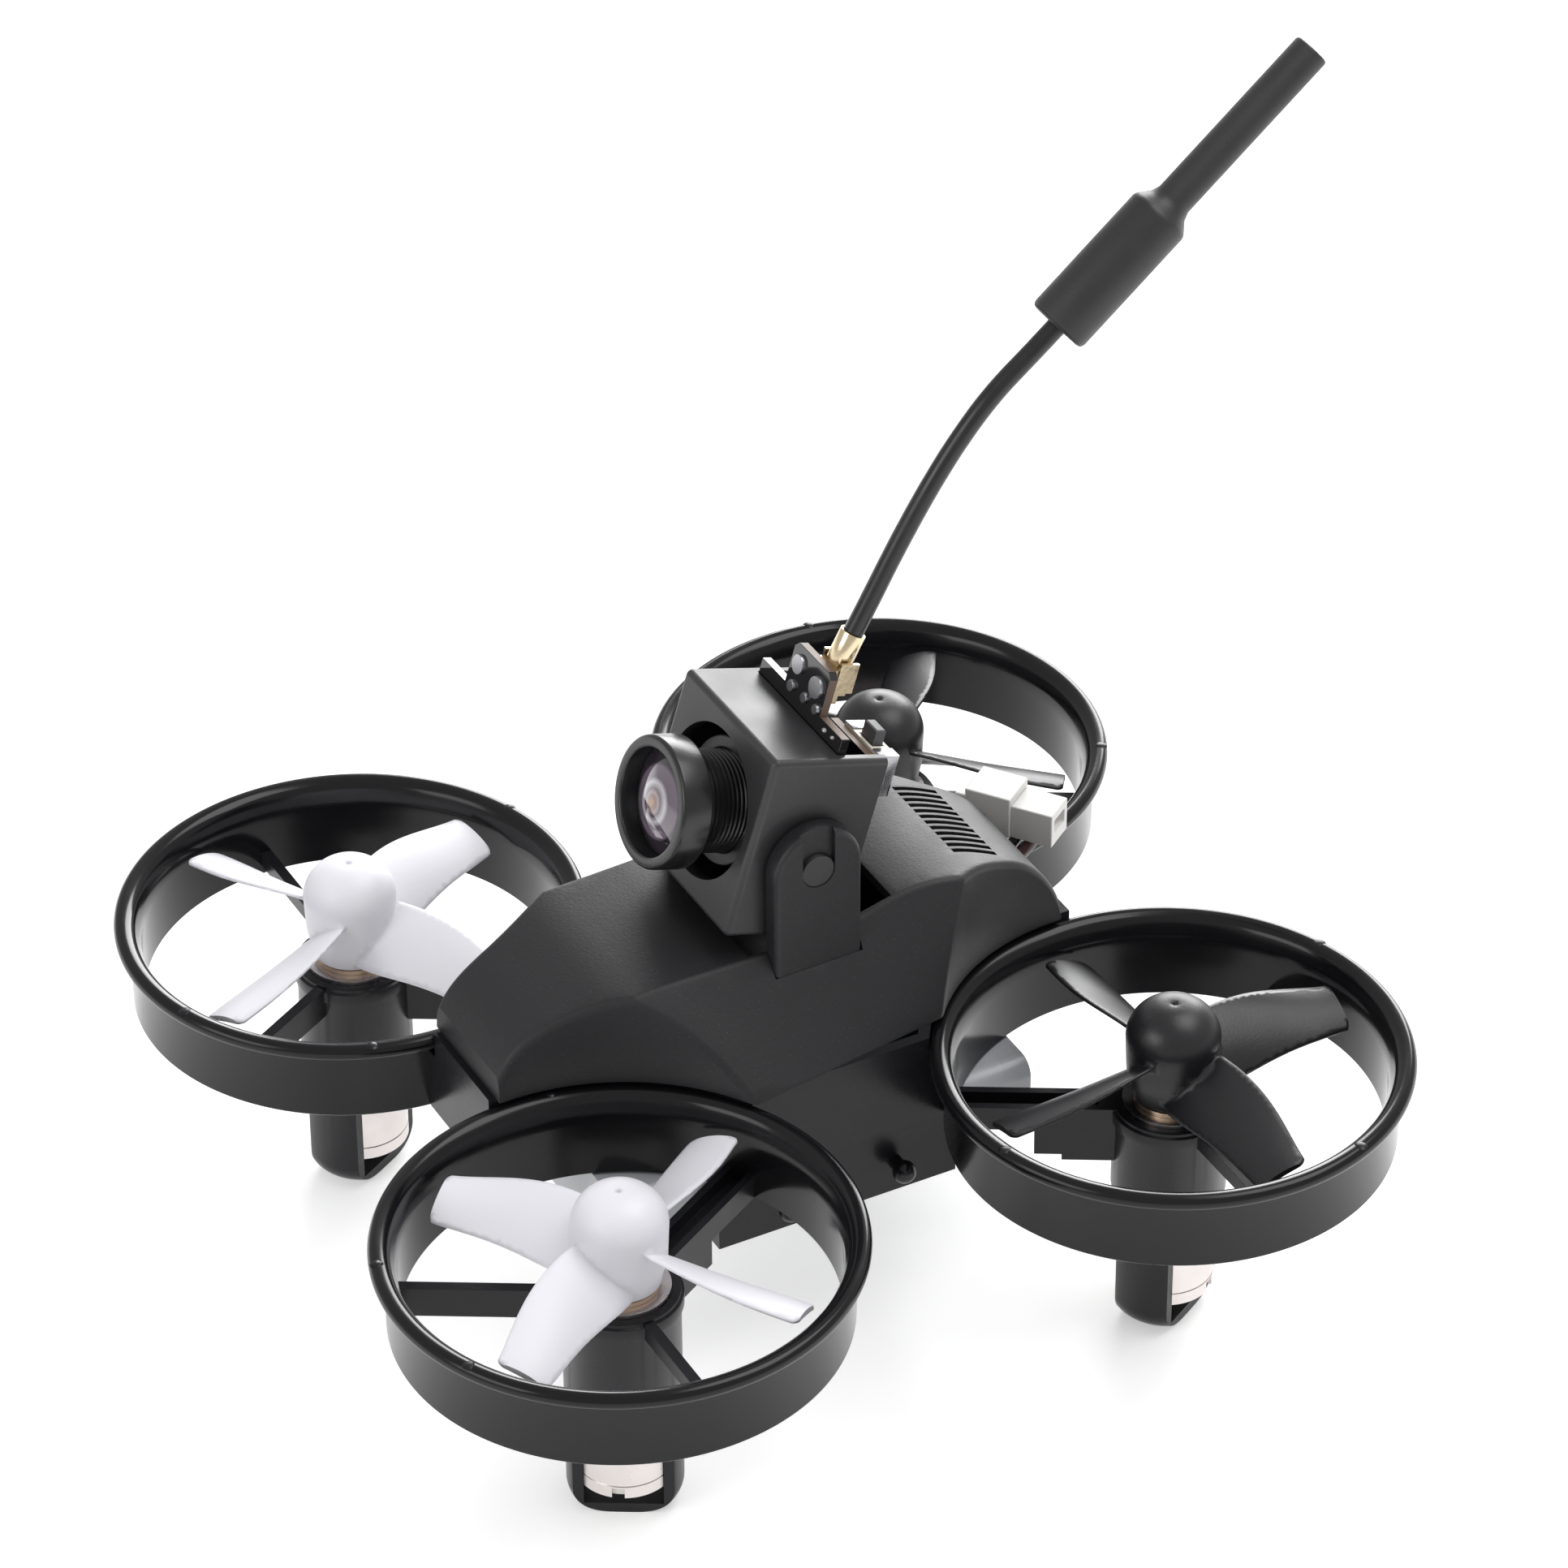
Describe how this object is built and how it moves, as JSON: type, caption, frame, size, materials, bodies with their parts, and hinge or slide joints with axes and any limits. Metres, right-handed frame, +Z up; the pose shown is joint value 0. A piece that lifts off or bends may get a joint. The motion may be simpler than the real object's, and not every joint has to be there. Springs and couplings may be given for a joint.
{
  "type": "fpv racing drone",
  "caption": "Palm-sized ducted quadcopter with a low plastic canopy, a tilting camera on a yoke, a stiff whip aerial and brushed motors hung in pods.",
  "frame": {"origin": "on the ground under the middle of the four ducts", "axes": "+Z up, -Y the drone's nose, +X the drone's left hand side"},
  "size_m": [0.0946, 0.1017, 0.1079],
  "materials": {
    "duct_black": "glossy",
    "frame_black": "satin",
    "canopy_black": "satin",
    "motor_steel": "satin",
    "end_cap_plastic": "matt",
    "coil_copper": "satin",
    "shaft_steel": "polished",
    "magnet_steel": "satin",
    "bush_bronze": "satin",
    "propeller_white": "satin",
    "propeller_black": "satin",
    "camera_black": "satin",
    "board_black": "glossy",
    "board_green": "glossy",
    "lens_black": "glossy",
    "lens_glass": "polished",
    "lead_red": "satin",
    "solder_tin": "polished",
    "chip_black": "matt",
    "button_white": "satin",
    "button_grey": "satin",
    "plug_gold": "polished",
    "lead_jacket": "satin",
    "sleeve_black": "satin",
    "battery_silver": "satin",
    "connector_white": "satin"
  },
  "bodies": {
    "airframe": {"duct_ring_front_left": "duct_black", "motor_pod_front_left": "frame_black", "motor_can_front_left": "motor_steel", "motor_end_cap_front_left": "end_cap_plastic", "duct_ring_front_right": "duct_black", "motor_pod_front_right": "frame_black", "motor_can_front_right": "motor_steel", "motor_end_cap_front_right": "end_cap_plastic", "duct_ring_rear_left": "duct_black", "motor_pod_rear_left": "frame_black", "motor_can_rear_left": "motor_steel", "motor_end_cap_rear_left": "end_cap_plastic", "duct_ring_rear_right": "duct_black", "motor_pod_rear_right": "frame_black", "motor_can_rear_right": "motor_steel", "motor_end_cap_rear_right": "end_cap_plastic", "motor_magnets": "magnet_steel", "motor_bushes": "bush_bronze", "frame_tray": "frame_black", "canopy": "canopy_black", "camera_yoke": "canopy_black", "flight_controller": "board_green", "controller_chips": "chip_black", "controller_screws": "shaft_steel", "battery": "battery_silver", "battery_plug": "connector_white", "battery_socket": "connector_white", "supply_lead_plus": "lead_red", "supply_lead_minus": "lead_jacket"},
    "propeller_front_left": {"propeller_front_left": "propeller_white", "motor_shaft_front_left": "shaft_steel", "motor_rotor_front_left": "coil_copper"},
    "propeller_front_right": {"propeller_front_right": "propeller_white", "motor_shaft_front_right": "shaft_steel", "motor_rotor_front_right": "coil_copper"},
    "propeller_rear_left": {"propeller_rear_left": "propeller_black", "motor_shaft_rear_left": "shaft_steel", "motor_rotor_rear_left": "coil_copper"},
    "propeller_rear_right": {"propeller_rear_right": "propeller_black", "motor_shaft_rear_right": "shaft_steel", "motor_rotor_rear_right": "coil_copper"},
    "camera_head": {"camera_housing": "camera_black", "camera_pivot_pins": "camera_black", "camera_board": "board_black", "lens_holder": "camera_black", "camera_board_parts": "solder_tin", "button_board_spacers": "chip_black", "button_board": "board_black", "channel_button_body": "button_white", "aerial_socket": "plug_gold", "aerial_plug": "plug_gold", "aerial_lead": "lead_jacket", "aerial_sleeve": "sleeve_black", "aerial_element": "coil_copper"},
    "focus_ring": {"lens_barrel": "lens_black", "lens_front_glass": "lens_glass", "lens_inner_glass": "lens_glass"},
    "channel_button": {"channel_button_cap": "button_grey"}
  },
  "joints": [
    {"name": "propeller_spin_front_left", "type": "hinge", "parent": "airframe", "child": "propeller_front_left", "pos_m": [0.02625, -0.02675, 0.0282], "axis": [0, 0, 1], "continuous": true},
    {"name": "propeller_spin_front_right", "type": "hinge", "parent": "airframe", "child": "propeller_front_right", "pos_m": [-0.02625, -0.02675, 0.0282], "axis": [0, 0, 1], "continuous": true},
    {"name": "propeller_spin_rear_left", "type": "hinge", "parent": "airframe", "child": "propeller_rear_left", "pos_m": [0.02625, 0.02675, 0.0282], "axis": [0, 0, 1], "continuous": true},
    {"name": "propeller_spin_rear_right", "type": "hinge", "parent": "airframe", "child": "propeller_rear_right", "pos_m": [-0.02625, 0.02675, 0.0282], "axis": [0, 0, 1], "continuous": true},
    {"name": "camera_tilt", "type": "hinge", "parent": "airframe", "child": "camera_head", "pos_m": [0, 0.0007, 0.0458], "axis": [1, 0, 0], "range_deg": [-25, 17]},
    {"name": "lens_focus", "type": "hinge", "parent": "camera_head", "child": "focus_ring", "pos_m": [0, 0.00102, 0.04685], "axis": [0, -0.9558, 0.294], "range_deg": [-60, 60]},
    {"name": "channel_button_press", "type": "slide", "parent": "camera_head", "child": "channel_button", "axis": [0, -0.294, -0.9558], "range_m": [0, 0.0003], "stiffness_N_per_m": 2000}
  ]
}
